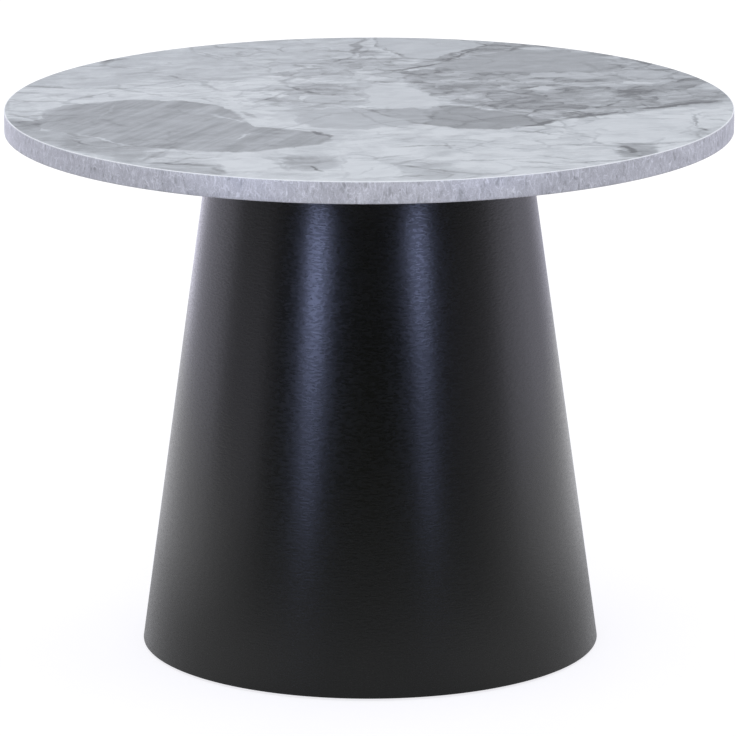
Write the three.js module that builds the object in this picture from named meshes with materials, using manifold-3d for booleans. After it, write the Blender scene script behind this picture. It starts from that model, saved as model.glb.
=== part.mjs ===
// Round pedestal table: a marble-look board top bolted to a hollow steel cone on four levelling feet.
// Millimetres, +Z up. The origin is on the floor, on the table's axis, and +Y points to the back.

import * as THREE from 'three';
import { mergeVertices } from 'three/addons/utils/BufferGeometryUtils.js';
import Module from 'manifold-3d';

// Driving dimensions
const TABLE_HEIGHT = 454;
const TOP_DIAMETER = 600;
const TOP_THICKNESS = 18;
const CONE_FOOT_DIAMETER = 380;
const CONE_HEAD_DIAMETER = 260;
const RIM_CLEARANCE = 2; // cone rim above the floor, with the feet screwed right in

// Clearances
const GAP = 0.3; // between neighbouring pieces
const BOND_LINE = 0.1; // between the board and what is glued to it
const THREAD_GAP = 0.4; // radial, between a plain shank and the plain bore that stands for its thread
const OVERRUN = 1; // how far a cutter goes past the faces that it cuts through

// Table top
const SHEET_THICKNESS = 0.8;
const BACKER_THICKNESS = 0.6;
const BAND_THICKNESS = 1;
const BAND_BEVEL = 0.6;
const BAND_SEAM_WIDTH = 0.3;

// Pedestal
const SHELL_THICKNESS = 1.2;
const PLATE_THICKNESS = 3;
const PLATE_CENTRE_HOLE_RADIUS = 15;
const RING_THICKNESS = 3;
const RING_INNER_RADIUS = 150;

// M6 joint between the top and the pedestal
const BOLT_COUNT = 6;
const BOLT_CIRCLE_RADIUS = 100;
const BOLT_SHANK_RADIUS = 2.9;
const BOLT_LENGTH = 16;
const BOLT_HEAD_RADIUS = 5.25;
const BOLT_HEAD_HEIGHT = 3.3;
const BOLT_HEAD_DOME = [[0.55, 0], [0.85, 0.35], [1, 0.8]]; // shares of the head's radius and height
const BOLT_SOCKET_WIDTH = 4;
const BOLT_SOCKET_DEPTH = 2;
const PLATE_HOLE_RADIUS = 3.6;
const WASHER_BORE_RADIUS = 3.3;
const FLAT_WASHER_RADIUS = 9;
const SPRING_WASHER_RADIUS = 5.9;
const WASHER_THICKNESS = 1.6;
const SPRING_WASHER_SPLIT = 0.8;
const INSERT_RADIUS = 4.9;
const INSERT_FLANGE_RADIUS = 6.2;
const INSERT_FLANGE_THICKNESS = 1.2;
const INSERT_LENGTH = 12;
const INSERT_END_CLEARANCE = 1.5;

// M8 levelling feet
const FOOT_COUNT = 4;
const FOOT_CIRCLE_RADIUS = 168;
const PAD_RADIUS = 16;
const PAD_HEIGHT = 7;
const PAD_EDGE_CHAMFER = 1.5;
const PAD_SHOULDER_RADIUS = 9.6;
const PAD_CEILING_Z = 4.3; // top of the chamber that holds the stud's foot flange
const PAD_FLOOR_Z = 2.2; // bottom of that chamber
const STUD_SHANK_RADIUS = 3.7;
const STUD_JOURNAL_RADIUS = 3.5;
const STUD_FLANGE_RADIUS = 5.5;
const STUD_LENGTH = 30;
const STUD_TIP_CHAMFER = 1;
const SPANNER_FLANGE_WIDTH = 13;
const SPANNER_FLANGE_THICKNESS = 4;
const NUT_WIDTH = 13;
const NUT_HEIGHT = 6.5;
const RING_HOLE_RADIUS = 4.5;

// Facets round a full turn
const LARGE_STEPS = 96;
const PAD_STEPS = 16;
const SMALL_STEPS = 12;

// Levels and radii that follow from the dimensions above
const topUndersideZ = TABLE_HEIGHT - TOP_THICKNESS;
const coneHeadZ = topUndersideZ - GAP;
const boardRadius = TOP_DIAMETER / 2 - BAND_THICKNESS - BOND_LINE;
const boardBottomZ = topUndersideZ + BACKER_THICKNESS + BOND_LINE;
const boardTopZ = TABLE_HEIGHT - SHEET_THICKNESS - BOND_LINE;
const plateBottomZ = coneHeadZ - PLATE_THICKNESS;
const flatWasherZ = plateBottomZ - GAP - WASHER_THICKNESS;
const springWasherZ = flatWasherZ - GAP - WASHER_THICKNESS;
const boltSeatZ = springWasherZ - GAP;
const insertFlangeTopZ = topUndersideZ + INSERT_FLANGE_THICKNESS;
const insertTopZ = topUndersideZ + INSERT_LENGTH;
const spannerFlangeZ = PAD_HEIGHT + GAP;
const ringBottomZ = spannerFlangeZ + SPANNER_FLANGE_THICKNESS + GAP;
const ringTopZ = ringBottomZ + RING_THICKNESS;
const nutBottomZ = ringTopZ + GAP;

const materials = {
  marble: new THREE.MeshStandardMaterial({ color: 0xcdd2d8, roughness: 0.35, metalness: 0 }),
  band: new THREE.MeshStandardMaterial({ color: 0xb1b4c0, roughness: 0.45, metalness: 0 }),
  board: new THREE.MeshStandardMaterial({ color: 0xa88763, roughness: 0.85, metalness: 0 }),
  backer: new THREE.MeshStandardMaterial({ color: 0xe4e2dc, roughness: 0.6, metalness: 0 }),
  blackSteel: new THREE.MeshStandardMaterial({ color: 0x17181a, roughness: 0.4, metalness: 0.2 }),
  zinc: new THREE.MeshStandardMaterial({ color: 0xb7babd, roughness: 0.35, metalness: 1 }),
  nylon: new THREE.MeshStandardMaterial({ color: 0x1c1c1e, roughness: 0.6, metalness: 0 }),
};

const wasm = await Module();
wasm.setup();

/** The closed solid of a three.js geometry. */
function toSolid(geometry) {
  const bare = geometry.clone();
  bare.deleteAttribute('normal');
  bare.deleteAttribute('uv');
  const merged = mergeVertices(bare);
  const corners = merged.index.array;
  const triVerts = [];
  for (let i = 0; i < corners.length; i += 3) {
    const [a, b, c] = corners.slice(i, i + 3);
    // Where a turned profile meets the axis, its facets shrink to a line and are left out.
    if (a !== b && b !== c && c !== a) triVerts.push(a, b, c);
  }
  const mesh = new wasm.Mesh({
    numProp: 3,
    vertProperties: new Float32Array(merged.attributes.position.array),
    triVerts: new Uint32Array(triVerts),
  });
  return new wasm.Manifold(mesh);
}

/** The three.js geometry of a solid. */
function toGeometry(solid) {
  const mesh = solid.getMesh();
  const geometry = new THREE.BufferGeometry();
  geometry.setAttribute('position', new THREE.BufferAttribute(mesh.vertProperties, 3));
  geometry.setIndex(new THREE.BufferAttribute(mesh.triVerts, 1));
  geometry.computeVertexNormals();
  return geometry;
}

/** What is left of a geometry once each of the tools is cut out of it. */
function cut(geometry, tools) {
  let solid = toSolid(geometry);
  for (const tool of tools) {
    solid = solid.subtract(toSolid(tool));
  }
  return toGeometry(solid);
}

/** A profile of [radius, z] points turned round the Z axis. */
function turned(profile, steps) {
  const points = profile.map(([radius, z]) => new THREE.Vector2(radius, z));
  return new THREE.LatheGeometry(points, steps).rotateX(Math.PI / 2);
}

/** A ring of rectangular section. */
function ring(innerRadius, outerRadius, bottomZ, topZ, steps) {
  const profile = [
    [innerRadius, bottomZ],
    [outerRadius, bottomZ],
    [outerRadius, topZ],
    [innerRadius, topZ],
    [innerRadius, bottomZ],
  ];
  return turned(profile, steps);
}

/** An upright cylinder, or a prism with few steps. */
function post(radius, bottomZ, topZ, steps) {
  const height = topZ - bottomZ;
  const cylinder = new THREE.CylinderGeometry(radius, radius, height, steps).rotateX(Math.PI / 2);
  return cylinder.translate(0, 0, bottomZ + height / 2);
}

/** An upright hexagonal prism of the given width across its flats. */
function hexagon(width, bottomZ, topZ) {
  return post(width / 2 / Math.cos(Math.PI / 6), bottomZ, topZ, 6);
}

/** Places evenly spaced round a circle, the first of them half a step from the +X axis. */
function circle(count, radius) {
  const places = [];
  for (let i = 0; i < count; i += 1) {
    const angle = ((i + 0.5) * 2 * Math.PI) / count;
    places.push({ x: radius * Math.cos(angle), y: radius * Math.sin(angle), angle });
  }
  return places;
}

const boltPlaces = circle(BOLT_COUNT, BOLT_CIRCLE_RADIUS);
const footPlaces = circle(FOOT_COUNT, FOOT_CIRCLE_RADIUS);

/** One post for each place, as drills that pass right through from bottomZ to topZ. */
function drills(places, radius, bottomZ, topZ) {
  return places.map(({ x, y }) => post(radius, bottomZ, topZ, SMALL_STEPS).translate(x, y, 0));
}

/** Outer radius of the cone at a height. */
function coneRadius(z) {
  const along = (z - RIM_CLEARANCE) / (coneHeadZ - RIM_CLEARANCE);
  return THREE.MathUtils.lerp(CONE_FOOT_DIAMETER / 2, CONE_HEAD_DIAMETER / 2, along);
}

// ---- Table top ----

function marbleTopSheet() {
  return post(boardRadius, TABLE_HEIGHT - SHEET_THICKNESS, TABLE_HEIGHT, LARGE_STEPS);
}

/** The board, with a counterbored blind hole in its lower face for each insert. */
function tabletopCore() {
  const board = post(boardRadius, boardBottomZ, boardTopZ, LARGE_STEPS);
  const holeTopZ = insertTopZ + INSERT_END_CLEARANCE;
  const holes = drills(boltPlaces, INSERT_RADIUS + GAP, topUndersideZ, holeTopZ);
  const counterbores = drills(boltPlaces, INSERT_FLANGE_RADIUS + GAP, topUndersideZ, insertFlangeTopZ + GAP);
  return cut(board, [...holes, ...counterbores]);
}

/** The balancing sheet under the board, cut away round the flanges of the inserts. */
function undersideSheet() {
  const sheet = post(boardRadius, topUndersideZ, topUndersideZ + BACKER_THICKNESS, LARGE_STEPS);
  return cut(sheet, drills(boltPlaces, INSERT_FLANGE_RADIUS + GAP, topUndersideZ - OVERRUN, boardBottomZ));
}

/** The edging strip, bevelled along its top arris, with its two ends butted at the back. */
function edgeBand() {
  const outer = TOP_DIAMETER / 2;
  const inner = outer - BAND_THICKNESS;
  const strip = turned(
    [
      [inner, topUndersideZ],
      [outer, topUndersideZ],
      [outer, TABLE_HEIGHT - BAND_BEVEL],
      [outer - BAND_BEVEL, TABLE_HEIGHT],
      [inner, TABLE_HEIGHT],
      [inner, topUndersideZ],
    ],
    LARGE_STEPS,
  );
  const seamDepth = 2 * (BAND_THICKNESS + OVERRUN);
  const seam = new THREE.BoxGeometry(BAND_SEAM_WIDTH, seamDepth, 2 * (TOP_THICKNESS + OVERRUN));
  seam.translate(0, outer, TABLE_HEIGHT);
  return cut(strip, [seam]);
}

/** A screw-in insert: an open tube with a flange let in flush with the underside. */
function threadedInsert() {
  const bore = BOLT_SHANK_RADIUS + THREAD_GAP;
  return turned(
    [
      [bore, topUndersideZ],
      [INSERT_FLANGE_RADIUS, topUndersideZ],
      [INSERT_FLANGE_RADIUS, insertFlangeTopZ],
      [INSERT_RADIUS, insertFlangeTopZ],
      [INSERT_RADIUS, insertTopZ],
      [bore, insertTopZ],
      [bore, topUndersideZ],
    ],
    SMALL_STEPS,
  );
}

// ---- Pedestal ----

/** The rolled sheet-steel cone, open at both ends. */
function coneShell() {
  const footRadius = coneRadius(RIM_CLEARANCE);
  const headRadius = coneRadius(coneHeadZ);
  return turned(
    [
      [footRadius - SHELL_THICKNESS, RIM_CLEARANCE],
      [footRadius, RIM_CLEARANCE],
      [headRadius, coneHeadZ],
      [headRadius - SHELL_THICKNESS, coneHeadZ],
      [footRadius - SHELL_THICKNESS, RIM_CLEARANCE],
    ],
    LARGE_STEPS,
  );
}

/** The disc inside the head of the cone that the top is bolted to. */
function topPlate() {
  const radius = coneRadius(coneHeadZ) - SHELL_THICKNESS - GAP;
  const disc = ring(PLATE_CENTRE_HOLE_RADIUS, radius, plateBottomZ, coneHeadZ, LARGE_STEPS);
  return cut(disc, drills(boltPlaces, PLATE_HOLE_RADIUS, plateBottomZ - OVERRUN, coneHeadZ + OVERRUN));
}

/** The flat ring inside the foot of the cone that carries the levelling feet. */
function baseRing() {
  const radius = coneRadius(ringTopZ) - SHELL_THICKNESS - GAP;
  const flat = ring(RING_INNER_RADIUS, radius, ringBottomZ, ringTopZ, LARGE_STEPS);
  return cut(flat, drills(footPlaces, RING_HOLE_RADIUS, ringBottomZ - OVERRUN, ringTopZ + OVERRUN));
}

// ---- M6 fasteners, each about its own axis ----

/** A button-head bolt pointing up, with a hexagonal socket in its head. */
function topBolt() {
  const headZ = boltSeatZ - BOLT_HEAD_HEIGHT;
  const tipZ = boltSeatZ + BOLT_LENGTH;
  const dome = BOLT_HEAD_DOME.map(([across, up]) => {
    return [BOLT_HEAD_RADIUS * across, headZ + BOLT_HEAD_HEIGHT * up];
  });
  const bolt = turned(
    [
      [0, headZ],
      ...dome,
      [BOLT_HEAD_RADIUS, boltSeatZ],
      [BOLT_SHANK_RADIUS, boltSeatZ],
      [BOLT_SHANK_RADIUS, tipZ],
      [0, tipZ],
    ],
    SMALL_STEPS,
  );
  return cut(bolt, [hexagon(BOLT_SOCKET_WIDTH, headZ - OVERRUN, headZ + BOLT_SOCKET_DEPTH)]);
}

function flatWasher() {
  const topZ = flatWasherZ + WASHER_THICKNESS;
  return ring(WASHER_BORE_RADIUS, FLAT_WASHER_RADIUS, flatWasherZ, topZ, SMALL_STEPS);
}

/** A spring lock washer, split across one side. */
function springWasher() {
  const topZ = springWasherZ + WASHER_THICKNESS;
  const coil = ring(WASHER_BORE_RADIUS, SPRING_WASHER_RADIUS, springWasherZ, topZ, SMALL_STEPS);
  const splitHeight = 2 * (WASHER_THICKNESS + OVERRUN);
  const split = new THREE.BoxGeometry(SPRING_WASHER_RADIUS, SPRING_WASHER_SPLIT, splitHeight);
  split.translate(SPRING_WASHER_RADIUS, 0, springWasherZ);
  return cut(coil, [split]);
}

// ---- Levelling feet, each about its own axis ----

/** The hexagonal weld nut on top of the base ring. */
function footNut() {
  const nut = hexagon(NUT_WIDTH, nutBottomZ, nutBottomZ + NUT_HEIGHT);
  const bore = STUD_SHANK_RADIUS + THREAD_GAP;
  return cut(nut, [post(bore, nutBottomZ - OVERRUN, nutBottomZ + NUT_HEIGHT + OVERRUN, SMALL_STEPS)]);
}

/** The threaded stud, with a spanner flange and a foot flange that the pad holds and lets turn. */
function footStud() {
  const flangeBottomZ = PAD_FLOOR_Z + GAP;
  const flangeTopZ = PAD_CEILING_Z - GAP;
  const shankZ = spannerFlangeZ + SPANNER_FLANGE_THICKNESS;
  const tipZ = shankZ + STUD_LENGTH;
  const journal = turned(
    [
      [0, flangeBottomZ],
      [STUD_FLANGE_RADIUS, flangeBottomZ],
      [STUD_FLANGE_RADIUS, flangeTopZ],
      [STUD_JOURNAL_RADIUS, flangeTopZ],
      [STUD_JOURNAL_RADIUS, shankZ - OVERRUN],
      [STUD_SHANK_RADIUS, shankZ - OVERRUN],
      [STUD_SHANK_RADIUS, tipZ - STUD_TIP_CHAMFER],
      [STUD_SHANK_RADIUS - STUD_TIP_CHAMFER, tipZ],
      [0, tipZ],
    ],
    SMALL_STEPS,
  );
  const spannerFlange = hexagon(SPANNER_FLANGE_WIDTH, spannerFlangeZ, shankZ);
  return toGeometry(toSolid(journal).add(toSolid(spannerFlange)));
}

/** The plastic glide, a cup with a neck that keeps the stud's foot flange in its chamber. */
function footPad() {
  const neck = STUD_JOURNAL_RADIUS + GAP;
  const chamber = STUD_FLANGE_RADIUS + GAP;
  return turned(
    [
      [0, 0],
      [PAD_RADIUS - PAD_EDGE_CHAMFER, 0],
      [PAD_RADIUS, PAD_EDGE_CHAMFER],
      [PAD_RADIUS, PAD_HEIGHT - 2 * PAD_EDGE_CHAMFER],
      [PAD_SHOULDER_RADIUS, PAD_HEIGHT],
      [neck, PAD_HEIGHT],
      [neck, PAD_CEILING_Z],
      [chamber, PAD_CEILING_Z],
      [chamber, PAD_FLOOR_Z],
      [0, PAD_FLOOR_Z],
    ],
    PAD_STEPS,
  );
}

// ---- Assembly ----

const table = new THREE.Group();

function addPiece(name, geometry, material, place = { x: 0, y: 0, angle: 0 }) {
  const piece = new THREE.Mesh(geometry, material.clone());
  piece.name = name;
  piece.position.set(place.x, place.y, 0);
  piece.rotation.z = place.angle;
  table.add(piece);
}

/** One named piece at each place, numbered from 1. */
function addCopies(name, geometry, material, places) {
  places.forEach((place, i) => addPiece(`${name}_${i + 1}`, geometry, material, place));
}

addPiece('marble_top_sheet', marbleTopSheet(), materials.marble);
addPiece('tabletop_core', tabletopCore(), materials.board);
addPiece('underside_sheet', undersideSheet(), materials.backer);
addPiece('edge_band', edgeBand(), materials.band);
addPiece('cone_shell', coneShell(), materials.blackSteel);
addPiece('top_plate', topPlate(), materials.blackSteel);
addPiece('base_ring', baseRing(), materials.blackSteel);

addCopies('threaded_insert', threadedInsert(), materials.zinc, boltPlaces);
addCopies('flat_washer', flatWasher(), materials.zinc, boltPlaces);
addCopies('spring_washer', springWasher(), materials.zinc, boltPlaces);
addCopies('top_bolt', topBolt(), materials.zinc, boltPlaces);

addCopies('foot_nut', footNut(), materials.zinc, footPlaces);
addCopies('foot_stud', footStud(), materials.zinc, footPlaces);
addCopies('foot_pad', footPad(), materials.nylon, footPlaces);

export default table;
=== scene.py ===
"""Round pedestal table: a marble-look top on a black powder-coated cone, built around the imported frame.

Metres, +Z up, +Y to the back. Every mesh is made in the frame's own place, so objects stay at the origin.
"""
import math

import bmesh
import bpy
from mathutils import Euler, Matrix, Vector


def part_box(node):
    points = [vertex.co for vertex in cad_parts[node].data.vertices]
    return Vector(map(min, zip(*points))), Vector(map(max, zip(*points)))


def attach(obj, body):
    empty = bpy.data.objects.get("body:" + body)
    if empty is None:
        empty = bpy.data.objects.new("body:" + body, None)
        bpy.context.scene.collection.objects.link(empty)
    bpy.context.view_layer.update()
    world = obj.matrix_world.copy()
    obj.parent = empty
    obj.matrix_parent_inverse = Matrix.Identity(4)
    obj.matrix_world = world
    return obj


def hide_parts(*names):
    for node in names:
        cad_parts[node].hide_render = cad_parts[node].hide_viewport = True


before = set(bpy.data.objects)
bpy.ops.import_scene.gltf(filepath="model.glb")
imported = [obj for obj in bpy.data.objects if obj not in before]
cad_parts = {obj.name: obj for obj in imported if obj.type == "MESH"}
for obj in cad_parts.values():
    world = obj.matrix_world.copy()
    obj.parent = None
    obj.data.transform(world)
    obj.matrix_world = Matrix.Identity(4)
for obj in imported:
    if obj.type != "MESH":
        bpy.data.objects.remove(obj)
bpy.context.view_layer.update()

MM = 0.001
TAU = 2 * math.pi

# Places and sizes read from the frame
TOP_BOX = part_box("edge_band")
SHEET_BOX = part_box("marble_top_sheet")
CONE_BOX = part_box("cone_shell")
PLATE_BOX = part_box("top_plate")
RING_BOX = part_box("base_ring")
TOP_RADIUS = TOP_BOX[1].x
TOP_Z = TOP_BOX[1].z
UNDERSIDE_Z = TOP_BOX[0].z
CONE_FOOT_RADIUS = CONE_BOX[1].x
CONE_FOOT_Z = CONE_BOX[0].z
CONE_HEAD_Z = CONE_BOX[1].z

# Sizes that the frame's boxes don't give, as in part.mjs
CONE_HEAD_RADIUS = 130 * MM
SHELL_THICKNESS = 1.2 * MM
BAND_THICKNESS = 1.0 * MM
BAND_BEVEL = 0.6 * MM
BAND_SEAM_WIDTH = 0.3 * MM
RING_INNER_RADIUS = 150 * MM
RING_HOLE_RADIUS = 4.5 * MM
PLATE_CENTRE_RADIUS = 15 * MM
PLATE_HOLE_RADIUS = 3.6 * MM
BOLT_THREAD = (2.45 * MM, 3.0 * MM, 1.0 * MM)  # root radius, crest radius, pitch
FOOT_THREAD = (3.3 * MM, 3.95 * MM, 1.25 * MM)
NUT_THREAD = (4.05 * MM, 4.6 * MM, 1.25 * MM)
WASHER_BORE_RADIUS = 3.3 * MM
BOLT_SOCKET_WIDTH = 4 * MM
BOLT_SOCKET_DEPTH = 2 * MM
BOLT_HEAD_RADIUS = 5.25 * MM
BOLT_HEAD_HEIGHT = 3.3 * MM
NUT_WIDTH = 13 * MM
SPRING_WASHER_RADIUS = 5.9 * MM
SPRING_WASHER_SPLIT = 0.16  # radians
STUD_FLANGE_RADIUS = 5.5 * MM
STUD_FLANGE_TOP_Z = 4.0 * MM
STUD_JOURNAL_RADIUS = 3.5 * MM
SPANNER_FLANGE_LOW_Z = 7.3 * MM
SPANNER_FLANGE_HIGH_Z = 11.3 * MM
PAD_RADIUS = 16 * MM
PAD_SHOULDER_RADIUS = 9.6 * MM
PAD_NECK_RADIUS = 3.8 * MM
PAD_CHAMBER_RADIUS = 5.8 * MM
PAD_CEILING_Z = 4.3 * MM
PAD_FLOOR_Z = 2.2 * MM
BOLT_COUNT = 6
FOOT_COUNT = 4

# Details that only this model has
CONE_EDGE = 0.45 * MM  # eased edges of the cone's two rims
STEEL_EDGE = 0.3 * MM  # the same of the plate and the ring
FLAT_WASHER_EDGE = 0.25 * MM
SPRING_WASHER_EDGE = 0.15 * MM
SPRING_WASHER_TURN = 1.3  # radians from one washer's split to the next one's
# The dome of a bolt's head, in shares of its radius and height
BOLT_HEAD_DOME = [(0.56, 0), (0.72, 0.10), (0.86, 0.28), (0.95, 0.52), (1, 0.82), (1, 0.94), (0.97, 1)]
BOLT_NECK = 1.2 * MM  # plain shank under the head
BOLT_TIP = 0.6 * MM
NUT_CHAMFER = 0.45 * MM
NUT_LEAD_IN = 0.2 * MM
STUD_EDGE = 0.2 * MM
STUD_NECK = 0.8 * MM
STUD_TIP = 1.0 * MM
SPANNER_FLANGE_CHAMFER = 0.4 * MM
PAD_RIB_COUNT = 60
PAD_RIB_DEPTH = 0.25 * MM
HEAD_WELD = (1.6 * MM, 0.6 * MM, 0.3 * MM)  # bead's radius, way in from the cone, way down from the plate
FOOT_WELD = (1.3 * MM, 0.5 * MM, 0.2 * MM)
WELD_RIPPLE = 0.16 * MM
WELD_RIPPLE_PITCH = 5.2 * MM
SEAM_WIDTH = 6 * MM
SEAM_RISE = 0.25 * MM
SEAM_END = 1 * MM  # from the cone's rims
SEAM_SINK = 0.05 * MM
SEAM_UNEVENNESS = 0.12
SEAM_WAVE = 2.1  # radians from one row to the next

# Facets round a full turn
LARGE_STEPS = 288
BEAD_STEPS = 1152
PAD_STEPS = 384
NUT_STEPS = 96  # also washers and studs
SMALL_STEPS = 48
FLOOR_STEPS = 96

# Rows of vertices
THREAD_ROWS = 8  # to each turn of a thread
BEAD_ROWS = 10  # round a weld bead
SEAM_ROWS = 60  # up the cone's seam
SEAM_STEPS = 8  # across it


# ---- Camera, light and floor ----

LENS_MM = 315.96
CAMERA_PLACE = (-0.0014, -5.213, 1.502)
CAMERA_TILT = math.pi / 2 - 0.2390
CAMERA_ROLL = -0.0023

# The floor. It glows, and most at the sides: each pair is its glow in front and at the sides.
FLOOR_RADIUS = 1.6
FLOOR_THICKNESS = 1 * MM
FLOOR_GLOW_SEEN = 0.79  # to the camera
FLOOR_GLOW_CLOSE = (0.24, 0.42)  # to the table, from near its foot
FLOOR_GLOW_AFAR = (0.0, 0.80)  # to the table, from farther off

# The studio's brightness by compass angle in degrees, 0 in front of the table and positive to its right
STUDIO = [
    (-180, 1.80), (-156, 1.80), (-144, 1.20), (-132, 1.10), (-120, 1.20), (-104, 1.25), (-98, 0.50),
    (-84, 0.60), (-70, 0.80), (-62, 0.10), (-52, 0.03), (34, 0.03), (46, 0.15), (58, 0.28), (78, 0.42),
    (86, 0.65), (94, 1.28), (120, 1.28), (132, 0.85), (144, 0.85), (156, 0.98), (180, 0.95),
]
STUDIO_TINT = (0.99, 0.975, 1.14)
STUDIO_WARM = (1.10, 1.15, 0.70)  # the tint where it is dark, in front
STUDIO_DARK = 0.1  # the brightness where the tint changes
UPPER_WALLS = (0.06, 0.30)  # brightness in front, and from the sides round to the back
OVERHEAD = (1.24, 1.26, 1.30)
BACKDROP = (1.1, 1.1, 1.1)  # what the camera sees behind the table

# The strip lights: side; compass angle; width; bands as (bottom, top, brightness)
STRIP_DISTANCE = 1.3
STRIP_BLUE = (0.52, 0.60, 1.0)
STRIPS = [
    ("left", -33.2, 0.21, [(0.04, 0.36, 3.4), (0.36, 1.5, 10.6)]),
    ("right", 31.0, 0.17, [(0.04, 0.36, 2.4), (0.36, 0.48, 4.0), (0.48, 1.5, 12.0)]),
]
KEY_DISTANCE = 3.4
KEY_WIDTH = 3.2
KEY_BOTTOM = 0.1
KEY_TOP = 2.0
KEY_BRIGHTNESS = 2.3
KEY_COLOUR = (1.0, 0.985, 1.02)


def set_camera():
    data = bpy.data.cameras.new("camera")
    data.lens = LENS_MM
    data.sensor_width = 36
    data.clip_end = 100
    camera = bpy.data.objects.new("camera", data)
    camera.location = CAMERA_PLACE
    look = Euler((CAMERA_TILT, 0, 0)).to_matrix() @ Matrix.Rotation(CAMERA_ROLL, 3, "Z")
    camera.rotation_euler = look.to_euler()
    bpy.context.scene.collection.objects.link(camera)
    bpy.context.scene.camera = camera


class Nodes:
    """A node tree under construction. Most methods add one node and return its output."""

    def __init__(self, tree):
        self.tree = tree

    def node(self, kind, inputs, **settings):
        made = self.tree.nodes.new(kind)
        for key, value in settings.items():
            setattr(made, key, value)
        for key, value in inputs.items():
            self.feed(made.inputs[key], value)
        return made

    def feed(self, socket, value):
        if isinstance(value, bpy.types.NodeSocket):
            self.tree.links.new(value, socket)
        elif value is not None:
            socket.default_value = value

    def math(self, operation, a, b=None, c=None, clamp=False):
        made = self.node("ShaderNodeMath", {0: a, 1: b, 2: c}, operation=operation, use_clamp=clamp)
        return made.outputs[0]

    def vector(self, operation, a, b=None):
        return self.node("ShaderNodeVectorMath", {0: a, 1: b}, operation=operation).outputs["Vector"]

    def length(self, vector):
        return self.node("ShaderNodeVectorMath", {0: vector}, operation="LENGTH").outputs["Value"]

    def dot(self, a, b):
        return self.node("ShaderNodeVectorMath", {0: a, 1: b}, operation="DOT_PRODUCT").outputs["Value"]

    def split(self, vector):
        return self.node("ShaderNodeSeparateXYZ", {0: vector}).outputs

    def join(self, x, y, z):
        return self.node("ShaderNodeCombineXYZ", {0: x, 1: y, 2: z}).outputs[0]

    def compass(self, x, y):
        """The angle of a place about the table: 0 in front and positive to the right, in radians."""
        return self.math("ARCTAN2", x, self.math("MULTIPLY", y, -1.0))

    def camera_sees(self):
        """1 for what the camera sees directly, and 0 for what lights the table."""
        return self.node("ShaderNodeLightPath", {}).outputs["Is Camera Ray"]

    def spot(self, vector, x, y, long, wide, turn):
        """The vector seen from an ellipse at x, y in metres, whose edge is at length 1."""
        return self.node("ShaderNodeMapping", {
            "Vector": vector, "Location": (x, y, 0), "Rotation": (0, 0, turn), "Scale": (long, wide, 1),
        }, vector_type="TEXTURE").outputs[0]

    def drawn_out(self, vector, times, degrees=0.0):
        """The vector for a pattern drawn out that many times, in a direction in degrees from X."""
        return self.spot(vector, 0, 0, times, 1, math.radians(degrees))

    def noise(self, vector, scale, detail=3.0, roughness=0.5):
        return self.node("ShaderNodeTexNoise", {
            "Vector": vector, "Scale": scale, "Detail": detail, "Roughness": roughness,
        }).outputs["Fac"]

    def wander(self, vector, scale, amount, detail=2.0):
        """The vector moved about by noise, mostly by less than a quarter of amount."""
        made = self.node("ShaderNodeTexNoise", {"Vector": vector, "Scale": scale, "Detail": detail})
        centred = self.vector("SUBTRACT", made.outputs["Color"], (0.5, 0.5, 0.5))
        return self.vector("ADD", vector, self.vector("MULTIPLY", centred, (amount, amount, amount)))

    def cells(self, vector, scale, output="Distance", feature="F1", jitter=1.0):
        return self.node("ShaderNodeTexVoronoi", {
            "Vector": vector, "Scale": scale, "Randomness": jitter,
        }, feature=feature).outputs[output]

    def ramp(self, value, low, high, to_low=0.0, to_high=1.0):
        """A smooth step from to_low at low to to_high at high."""
        return self.node("ShaderNodeMapRange", {
            "Value": value, "From Min": low, "From Max": high, "To Min": to_low, "To Max": to_high,
        }, interpolation_type="SMOOTHSTEP").outputs[0]

    def mix(self, factor, a, b):
        """From number a to number b."""
        return self.node("ShaderNodeMix", {0: factor, 2: a, 3: b}, data_type="FLOAT").outputs[0]

    def blend(self, factor, a, b):
        """From colour a to colour b."""
        return self.node("ShaderNodeMix", {0: factor, 6: a, 7: b}, data_type="RGBA").outputs[2]

    def colours(self, value, stops):
        """A colour for a value, from (position, (r, g, b)) stops."""
        made = self.node("ShaderNodeValToRGB", {"Fac": value})
        elements = made.color_ramp.elements
        for n, (position, colour) in enumerate(stops):
            element = elements[n] if n < 2 else elements.new(1)
            element.position = position
            element.color = (*colour, 1)
        return made.outputs["Color"]


def studio_colour(brightness):
    tint = STUDIO_WARM if brightness < STUDIO_DARK else STUDIO_TINT
    return tuple(brightness * channel for channel in tint)


def set_world():
    """A white studio, dark towards the front, that the camera itself sees as plain white."""
    world = bpy.data.worlds.new("studio")
    world.use_nodes = True
    bpy.context.scene.world = world
    w = Nodes(world.node_tree)
    direction = w.split(w.node("ShaderNodeTexCoord", {}).outputs["Generated"])
    compass = w.compass(direction["X"], direction["Y"])
    fraction = w.math("ADD", w.math("DIVIDE", compass, TAU), 0.5)
    stops = [((degrees + 180) / 360, studio_colour(brightness)) for degrees, brightness in STUDIO]
    round_about = w.colours(fraction, stops)
    off_front = w.math("ABSOLUTE", compass)
    dim = w.ramp(off_front, math.radians(40), math.radians(90), *UPPER_WALLS)
    walls = w.blend(w.ramp(direction["Z"], 0.06, 0.20), round_about, dim)
    lit = w.blend(w.ramp(direction["Z"], 0.32, 0.70), walls, (*OVERHEAD, 1))
    background = world.node_tree.nodes["Background"]
    w.feed(background.inputs["Color"], w.blend(w.camera_sees(), lit, (*BACKDROP, 1)))


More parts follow.
